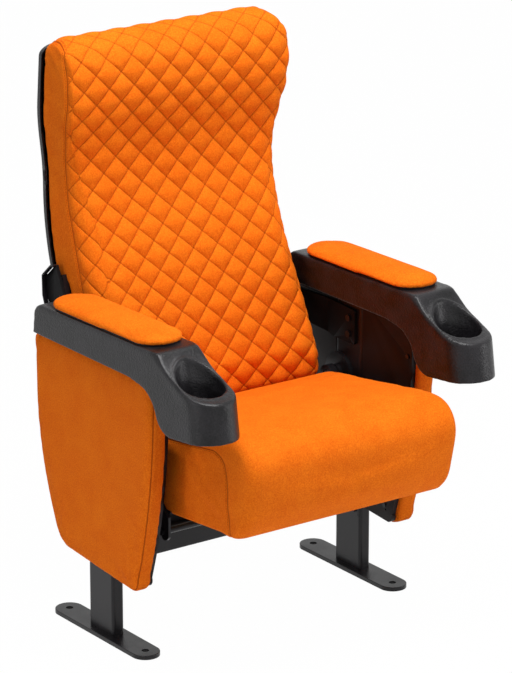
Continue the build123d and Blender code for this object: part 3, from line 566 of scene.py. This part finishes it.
# the lower end turns in behind the seat, which leaves a dark gap
at[:, 1] += TURN_IN * smooth_step(446 - at[:, 2], 0, 36)
move_points(back, at)
soften(back, 2)
at = points(back)
facing = normals(back)
wadding = smooth_step(-facing[:, 1], -0.4, 0.2) * smooth_step(at[:, 2], 400, 440)
swell(back, cap=4.0, held=1 - wadding)
apply_modifier(back, "SUBSURF", levels=1, render_levels=1)

at = points(back)
facing = normals(back)
x, y, z = at.T
# the run up the surface, from the first row of crossings and over the crest
profile_z = np.linspace(BACK_LOW, CREST_Z, 1200)
profile_y = front_line(profile_z)
profile_steps = np.hypot(np.diff(profile_y), np.diff(profile_z))
profile_run = np.concatenate([[0], np.cumsum(profile_steps)])
crest_y = profile_y[-1] + CREST_RADIUS
turn = np.arctan2(np.maximum(z - CREST_Z, 0), np.maximum(crest_y - y, -40))
run = np.interp(z, profile_z, profile_run) + np.where(z > CREST_Z, CREST_RADIUS * turn, 0)
run -= np.interp(FIRST_ROW_Z, profile_z, profile_run)
# the run across it, from the middle and round the edge to the side
half = back_half_width(z, np.where(x < 0, LEFT_CORNER, RIGHT_CORNER))
edge = back_edge(z)
depth = np.maximum(y - front_line(np.minimum(z, CREST_Z)), 0)
edge_turn = np.arccos(1 - np.minimum(depth, edge) / edge)
wrapped = half - edge + edge * edge_turn + np.maximum(depth - edge, 0)
past_edge = (np.abs(x) > half - edge) & (z < CREST_Z)
across_run = np.sign(x) * np.where(past_edge, wrapped, np.abs(x))
# the quilting covers the front and the crest, up to the seam of the side band
inside_box = boxing_reach(y, z)
on_side = smooth_step(np.abs(x) - (half - edge), 0, 6)
forward = -facing[:, 1] + facing[:, 2] + 0.6 * np.abs(facing[:, 0])
seen_from_front = smooth_step(forward, -0.5, 0.1)
quilted = smooth_step(np.where(on_side > 0.5, -inside_box, 10.0), 0.5, 5.0) * seen_from_front

# points beside a line of stitches slide onto it, so that each crease runs clean
lean_back = np.interp(z, profile_z, np.gradient(profile_y, profile_z))
up_slope = np.stack([0 * z, lean_back, 1 + 0 * z], axis=1)
up_slope -= facing * np.sum(up_slope * facing, axis=1, keepdims=True)
up_slope /= np.linalg.norm(up_slope, axis=1, keepdims=True) + 1e-9
sideways = np.cross(up_slope, facing)
line_turn = math.atan2(QUILT_X, QUILT_S)
clean = (quilted > 0.5) * (z < CREST_Z) * (np.abs(x) < half - edge)
for sign in (1, -1):
    row = across_run / (2 * QUILT_X / MM) + sign * run / (2 * QUILT_S / MM)
    off_line = (row - np.round(row)) * QUILT_REACH / MM
    pull = -off_line * np.where(np.abs(off_line) < SLIDE_REACH, 0.85, 0.0) * clean
    step_across = pull * math.cos(line_turn)
    step_along = sign * pull * math.sin(line_turn)
    at = at + sideways * step_across[:, None] + up_slope * step_along[:, None]
    across_run = across_run + step_across
    run = run + step_along

# each diamond is a pillow, lower towards the seam and where the surface turns away
first_row = across_run / (2 * QUILT_X / MM) + run / (2 * QUILT_S / MM)
second_row = across_run / (2 * QUILT_X / MM) - run / (2 * QUILT_S / MM)
pillow = np.abs(np.sin(np.pi * first_row)) * np.abs(np.sin(np.pi * second_row))
firm = smooth_step(np.where(on_side > 0.5, -inside_box, 20.0), 0, 12)
turned = np.maximum(smooth_step(z, 1030, 1070), smooth_step(np.abs(x) - (half - edge), -12, 10))
puff = (PILLOW_RISE * pillow**0.6 - CREASE_DEPTH) * quilted * firm * (1 - 0.6 * turned)
fullness = BAND_FULLNESS * smooth_step(z, 400, 460) * (1 - quilted)
tuck = -SEAM_TUCK * np.exp(-((inside_box / SEAM_TUCK_WIDTH) ** 2)) * on_side
move_points(back, at + facing * (puff + fullness + tuck)[:, None])
store(back, "quilted", quilted)
store(back, "seam", np.where(on_side > 0.3, inside_box, 50.0) * MM)
store(back, "seam_run", z * MM)
flat_map = back.data.uv_layers.new(name="quilt")
corner_points = np.empty(len(back.data.loops), np.int32)
back.data.loops.foreach_get("vertex_index", corner_points)
flat_places = np.stack([across_run, run], axis=1)[corner_points] * MM
flat_map.data.foreach_set("uv", flat_places.astype(np.float32).ravel())
place_on(back, "frame", "woven_fabric", quilted_fabric, "back_cushion")


# ======================= Seat cushion =======================

SEAT_LOW = 283.0
BORDER_FRONT = -344.0       # front end of the lower border
TURN_Y, TURN_Z = -268.0, 371.0      # centre of the seam's bend over the front edge
TURN_RADIUS = 56.0
FRONT_SEAM_Y = -325.0
TOP_FALL = 0.13             # the top seam falls this much per millimetre towards the rear
BORDER_FALL = 0.085         # and the lower border this much
FRONT_DROP = 5.0            # the lower border is this much lower along the front
LOW_ZONE_TOP = 380.0        # only what lies below this height moves down with the border
SEAT_FULLNESS = 1.6
SEAT_SEAM_TUCK = 1.8
SEAT_SEAM_WIDTH = 3.5
RUN_Y, RUN_Z = -230.0, 330.0        # the run along the seam is the turn about this point
RUN_RADIUS = 95.0                   # at a mean radius


def seat_seam(y, z):
    """Depth inside the side band of the seat, from its seam over the top and down the front."""
    top = TURN_Z + TURN_RADIUS - TOP_FALL * (y - TURN_Y) - z
    corner = TURN_RADIUS - np.hypot(y - TURN_Y, z - TURN_Z)
    ahead = y - FRONT_SEAM_Y
    before_turn = y < TURN_Y
    return np.select([before_turn & (z > TURN_Z), before_turn], [corner, ahead], np.minimum(top, ahead))


seat = copy_of("seat_cushion", "seat_cover")
apply_modifier(seat, "REMESH", mode="VOXEL", voxel_size=6 * MM)
x, y, z = points(seat).T
# the border of the cover hangs below the board that it encloses
border = np.maximum(smooth_step(np.abs(x), 210, 216), smooth_step(y, 5, 10))
low_share = np.clip((LOW_ZONE_TOP - z) / (LOW_ZONE_TOP - SEAT_LOW), 0, 1)
fall = BORDER_FALL * np.maximum(y - BORDER_FRONT, 0) * border
z = z - (fall + FRONT_DROP * smooth_step(-y, 290, 330)) * low_share
move_points(seat, np.stack([x, y, z], axis=1))
soften(seat, 9, smooth_step(z, 300, 350) * smooth_step(-y, -10, 60))
soften(seat, 1)
at = points(seat)
facing = normals(seat)
fullness = SEAT_FULLNESS * smooth_step(at[:, 2], SEAT_LOW, 300) * smooth_step(-at[:, 1], -25, 40)
move_points(seat, at + facing * fullness[:, None])
at = points(seat)
swell(seat, cap=6.0, held=1 - smooth_step(at[:, 2], 290, 340) * smooth_step(-at[:, 1], 20, 110))
apply_modifier(seat, "SUBSURF", levels=1, render_levels=1)
at = points(seat)
facing = normals(seat)
reach = seat_seam(at[:, 1], at[:, 2])
side = smooth_step(np.abs(at[:, 0]), 205, 226)
tuck = SEAT_SEAM_TUCK * np.exp(-((reach / SEAT_SEAM_WIDTH) ** 2)) * side
move_points(seat, at - facing * tuck[:, None])
store(seat, "seam", np.where(side > 0.2, reach, 50.0) * MM)
store(seat, "seam_run", np.arctan2(at[:, 2] - RUN_Z, at[:, 1] - RUN_Y) * RUN_RADIUS * MM)
place_on(seat, "seat", "woven_fabric", seamed_fabric, "seat_cushion")


# ======================= Arm pads =======================

ARM_SLOPE = math.tan(math.radians(1.3))    # the arms and their pads fall towards the rear
PAD_BASE_Y, PAD_BASE_Z = -48.0, 620.0
PAD_FULLNESS = 0.8

left_pad = copy_of("left_arm_pad", "left_arm_pad_cover")
apply_modifier(left_pad, "REMESH", mode="VOXEL", voxel_size=4 * MM)
at = points(left_pad)
pad_base = PAD_BASE_Z - (at[:, 1] - PAD_BASE_Y) * ARM_SLOPE
soften(left_pad, 4, smooth_step(at[:, 2] - pad_base, 1, 7))
at = points(left_pad)
fullness = PAD_FULLNESS * smooth_step(at[:, 2] - pad_base, 1, 5)
move_points(left_pad, at + normals(left_pad) * fullness[:, None])
swell(left_pad, cap=3.0, held=1 - smooth_step(at[:, 2] - pad_base, 1, 6))
apply_modifier(left_pad, "SUBSURF", levels=1, render_levels=1)
right_pad = mirrored(left_pad, "right_arm_pad_cover")
for pad, solid_name in ((left_pad, "left_arm_pad"), (right_pad, "right_arm_pad")):
    place_on(pad, "frame", "woven_fabric", plain_fabric, solid_name)


# ======================= Side panels =======================

PANEL_OUTER = 320.0
PANEL_TOP = 557.0
PANEL_SEAM_INSET = 5.0
PANEL_FULLNESS = 0.8
PANEL_SEAM_TUCK = 1.2
PANEL_SEAM_WIDTH = 2.5

left_panel = copy_of("left_side_panel", "left_side_panel_cover")
apply_modifier(left_panel, "REMESH", mode="VOXEL", voxel_size=5 * MM)
at = points(left_panel)
outside = smooth_step(-at[:, 0], 290, 306) * smooth_step(PANEL_TOP - 4 - at[:, 2], 0, 12)
soften(left_panel, 3, 0.3 + 0.7 * outside)
at = points(left_panel)
store(left_panel, "seam", (PANEL_OUTER + at[:, 0] - PANEL_SEAM_INSET) * MM)
store(left_panel, "seam_run", (at[:, 2] + 0.5 * at[:, 1]) * MM)
move_points(left_panel, at + normals(left_panel) * (PANEL_FULLNESS * outside)[:, None])
swell(left_panel, cap=3.0, held=1 - outside)
apply_modifier(left_panel, "SUBSURF", levels=1, render_levels=1)
at = points(left_panel)
rim = stored(left_panel, "seam")
tuck = PANEL_SEAM_TUCK * np.exp(-((rim / PANEL_SEAM_WIDTH) ** 2))
move_points(left_panel, at - normals(left_panel) * tuck[:, None])
right_panel = mirrored(left_panel, "right_side_panel_cover")
for panel, solid_name in ((left_panel, "left_side_panel"), (right_panel, "right_side_panel")):
    place_on(panel, "frame", "woven_fabric", edged_fabric, solid_name)


# ======================= Moulded arms with cup holders =======================

ARM_X = 286.5
FLAT_END_Y, FLAT_END_Z = -241.0, 621.0     # where the flat top meets the slope round the cup
NOSE_Y, NOSE_Z = -345.0, 565.0             # where the slope meets the nose
MOUTH_Y = -309.0
WELL_LOW, WELL_HIGH = 493.0, 631.0
WELL_HALF_X, WELL_HALF_Y = 35.0, 36.0      # half the oval of the cup at its lower end
MOUTH_HALF_X, MOUTH_HALF_Y = 42.0, 48.0    # and at its upper end
WELL_AHEAD = 9.0            # the lower end lies this much nearer the front
CUP_RADIUS = 43.0           # mean, to turn a share of the oval into millimetres
MOUTH_WIDER, MOUTH_LONGER = 0.045, 0.05
MOUTH_REARWARD = 2.4
LIP_HEIGHT = 3.4
LIP_AWAY = 3.2              # from the wall of the cup
LIP_WIDTH = 3.4
LIP_LEAN = 0.35             # towards the front


def circle_through(first, second, third):
    """Centre and radius of the circle through three points."""
    (ax, ay), (bx, by), (cx, cy) = first, second, third
    twice = 2 * (ax * (by - cy) + bx * (cy - ay) + cx * (ay - by))
    a, b, c = ax**2 + ay**2, bx**2 + by**2, cx**2 + cy**2
    ox = (a * (by - cy) + b * (cy - ay) + c * (ay - by)) / twice
    oy = (a * (cx - bx) + b * (ax - cx) + c * (bx - ax)) / twice
    return ox, oy, math.hypot(ax - ox, ay - oy)


slope_y, slope_z, slope_radius = circle_through((FLAT_END_Y, FLAT_END_Z), (-285, 587), (NOSE_Y, NOSE_Z))


def arm_surface(y):
    """Height of the arm's upper face: flat, then the hollow slope round the cup, then the nose."""
    flat_top = FLAT_END_Z - (y - FLAT_END_Y) * ARM_SLOPE
    dip = slope_z - np.sqrt(np.maximum(slope_radius**2 - (y - slope_y) ** 2, 0))
    nose = NOSE_Z + (y - NOSE_Y) * 0.2
    return np.select([y > FLAT_END_Y, y > NOSE_Y], [flat_top, dip], nose)


left_arm = copy_of("left_arm", "left_arm_moulding")
apply_modifier(left_arm, "REMESH", mode="VOXEL", voxel_size=2.2 * MM)
x, y, z = points(left_arm).T
under_face = arm_surface(y) - z
# millimetres outside the wall of the cup, an oval that widens upwards
well_share = np.clip((z - WELL_LOW) / (WELL_HIGH - WELL_LOW), 0, 1)
half_x = WELL_HALF_X + (MOUTH_HALF_X - WELL_HALF_X) * well_share
half_y = WELL_HALF_Y + (MOUTH_HALF_Y - WELL_HALF_Y) * well_share
oval_x = (x + ARM_X) / half_x
oval_y = (y - MOUTH_Y + WELL_AHEAD * (1 - well_share)) / half_y
mouth = (np.hypot(oval_x, oval_y) - 1) * CUP_RADIUS
# the mouth of the cup opens wider and nearer to the flat top than the well below it
opening = smooth_step(30 - under_face, 0, 30) * np.exp(-((mouth / 12) ** 2)) * (y < FLAT_END_Y + 5)
wide_x = x + (x + ARM_X) * MOUTH_WIDER * opening
wide_y = y + ((y - MOUTH_Y) * MOUTH_LONGER + MOUTH_REARWARD) * opening
wide_z = z + (arm_surface(wide_y) - arm_surface(y)) * smooth_step(24 - under_face, 0, 20)
# a rounded lip stands up round the mouth
lip = LIP_HEIGHT * np.exp(-(((mouth - LIP_AWAY) / LIP_WIDTH) ** 2))
lip = lip * smooth_step(4.5 - under_face, 0, 3) * (mouth > -4)
move_points(left_arm, np.stack([wide_x, wide_y - LIP_LEAN * lip, wide_z + lip], axis=1))
well = smooth_step(-mouth, 1, 4) * smooth_step(under_face, 5, 12)
upper_edges = smooth_step(14 - under_face, 0, 5) * (1 - well)
# the upper edges are rounded, least round the mouth and most where the flat top ends
soften(left_arm, 5, np.clip(1 - well, 0.1, 1))
soften(left_arm, 12, upper_edges * (1 - 0.75 * np.exp(-((mouth / 9) ** 2))))
soften(left_arm, 30, upper_edges * np.exp(-(((y - FLAT_END_Y) / 12) ** 2)) * (mouth > 10))
right_arm = mirrored(left_arm, "right_arm_moulding")
for moulding, solid_name in ((left_arm, "left_arm"), (right_arm, "right_arm")):
    place_on(moulding, "frame", "arm_polypropylene", moulded_black, solid_name)


# ======================= Steel and shell =======================

SHELL_TOP = 1080.0          # of its solid
SHELL_SHOULDER = 1046.0
SHELL_DROP = 14.0
SHELL_LEAN = 0.092          # rearward for each millimetre down
SHELL_WIDER = 2.5
FLANGE_INNER, FLANGE_OUTER = -246.0, -256.0
STEEL_SHEET = 3.0
BOARD_REAR, BOARD_TOP = -41.0, 557.0       # of the front boards, which grow from there
BOARD_LONGER, BOARD_TALLER = 1.035, 1.022
UPSTAND_HALF = 262.0

# the shell stops 20 mm below the crest and stands a little wider than its solid
shell = copy_of("back_shell", "back_shell_pressing")
x, y, z = points(shell).T
drop = np.maximum(z - SHELL_SHOULDER, 0) * SHELL_DROP / (SHELL_TOP - SHELL_SHOULDER)
widened = x + np.sign(x) * SHELL_WIDER * smooth_step(np.abs(x), 180, 235)
move_points(shell, np.stack([widened, y + SHELL_LEAN * drop, z - drop], axis=1))
place_on(shell, "frame", "arm_polypropylene", moulded_black, "back_shell", sharp=32)

# the arms of the back climb behind the cushion and have a flange bent outwards
left_brace = copy_of("left_back_arm", "left_back_arm_plate")
x, y, z = points(left_brace).T
# its front upper corner, its crown and its rear move rearward, the first two also up
front_top = (y < 205) & (z > 585)
crown = (y > 222) & (z > 603)
rear = (y > 232) & (z > 580) & (z <= 603)
moved_y = y + 22 * front_top + 11 * crown + 5 * rear
moved_z = z + 52 * front_top + 17 * crown
move_points(left_brace, np.stack([x, moved_y, moved_z], axis=1))
flange_line = [(212, 653), (220, 652), (244, 631), (249, 626), (248, 588), (231, 542)]
left_flange = folded_strip("left_back_arm_flange", flange_line, FLANGE_INNER, FLANGE_OUTER, STEEL_SHEET)
right_brace = mirrored(left_brace, "right_back_arm_plate")
right_flange = mirrored(left_flange, "right_back_arm_flange")
for brace, flange, solid_name in (
    (left_brace, left_flange, "left_back_arm"),
    (right_brace, right_flange, "right_back_arm"),
):
    # the plates' darker matt coat is painted shade
    place_on(brace, "frame", "black_powder_coat", matt_coat_with_painted_shade, solid_name, sharp=32)
    place_on(flange, "frame", "black_powder_coat", powder_coat, sharp=32)

# the front boards reach nearly to the edge of the side panels
for side_name in ("left", "right"):
    board = copy_of(f"{side_name}_front_board", f"{side_name}_front_board_facing")
    x, y, z = points(board).T
    longer_y = BOARD_REAR + (y - BOARD_REAR) * BOARD_LONGER
    longer_z = BOARD_TOP + (z - BOARD_TOP) * BOARD_TALLER
    move_points(board, np.stack([x, longer_y, longer_z], axis=1))
    place_on(board, "frame", "black_board", faced_board, f"{side_name}_front_board", sharp=32)

# an upstand along the rear of the cross beam closes the view under the seat
upstand_line = [(19, 150), (21.6, 153), (21.6, 208), (15, 214)]
upstand = folded_strip("cross_beam_upstand", upstand_line, -UPSTAND_HALF, UPSTAND_HALF, STEEL_SHEET)
place_on(upstand, "frame", "black_powder_coat", powder_coat, sharp=32)


# ======================= Studio =======================

def soft_lamp(name, place, aim, size, power):
    """A white softbox: its size is its width and its height in metres."""
    lamp = bpy.data.objects.new(name, bpy.data.lights.new(name, "AREA"))
    lamp.data.shape = "RECTANGLE"
    lamp.data.size, lamp.data.size_y = size
    lamp.data.energy = power
    lamp.location = place
    lamp.rotation_euler = (Vector(aim) - Vector(place)).to_track_quat("-Z", "Y").to_euler()
    bpy.context.collection.objects.link(lamp)


soft_lamp("overhead_softbox", (-0.2, -0.8, 3.5), (0, 0, 0.5), (1.7, 1.7), 124)
soft_lamp("front_softbox", (-0.6, -4.2, 2.0), (0, 0, 0.6), (2.0, 2.0), 9)
soft_lamp("left_strip", (-2.4, -0.2, 0.9), (-0.2, -0.2, 0.5), (0.25, 1.4), 6.5)
soft_lamp("right_strip", (2.0, -1.9, 0.85), (0.1, -0.3, 0.5), (0.25, 1.4), 15)

FLOOR_GLOW = 0.99           # share of the floor that is plain white; the rest takes the shadow
ROOM_LIGHT = 0.2            # of the white room, on the object; it is 1 where the room is seen

bpy.ops.mesh.primitive_plane_add(size=40)
floor = bpy.context.object
floor.name = "studio_floor"
paper, tree, shader = new_material("pale_paper_floor", Roughness=0.9)
shader.inputs["Base Color"].default_value = colour("#E4E4E4")


def seen_share(tree):
    """1 for the rays of the camera, of reflections and of clear materials, otherwise 0."""
    camera_ray = wire(tree, "LightPath", {}, "Is Camera Ray")
    glossy_ray = wire(tree, "LightPath", {}, "Is Glossy Ray")
    clear_ray = wire(tree, "LightPath", {}, "Is Transmission Ray")
    either = wire(tree, "Math", {0: camera_ray, 1: glossy_ray}, operation="MAXIMUM")
    return wire(tree, "Math", {0: either, 1: clear_ray}, operation="MAXIMUM")


glow = wire(tree, "Emission", {"Color": (1, 1, 1, 1), "Strength": 1.0})
glow_share = wire(tree, "Math", {0: seen_share(tree), 1: FLOOR_GLOW}, operation="MULTIPLY")
both = wire(tree, "MixShader", {0: glow_share, 1: shader.outputs[0], 2: glow})
tree.links.new(both, tree.nodes["Material Output"].inputs["Surface"])
floor.data.materials.append(paper)

world = bpy.data.worlds.new("studio_room")
scene.world = world
world.use_nodes = True
tree = world.node_tree
background = tree.nodes["Background"]
background.inputs["Color"].default_value = (1, 1, 1, 1)
room_share = {0: seen_share(tree), 1: 1 - ROOM_LIGHT, 2: ROOM_LIGHT}
tree.links.new(wire(tree, "Math", room_share, operation="MULTIPLY_ADD"), background.inputs["Strength"])

camera = bpy.data.objects.new("photo_camera", bpy.data.cameras.new("photo_camera"))
camera.data.sensor_width = 36.0
camera.data.lens = 205.94
camera.data.clip_end = 100.0
camera.location = (-3.91684, -5.52990, 2.76211)
camera.rotation_euler = (math.radians(90 - 18.28), 0, math.radians(-35.69))
bpy.context.collection.objects.link(camera)
scene.camera = camera
scene.view_settings.view_transform = "Standard"
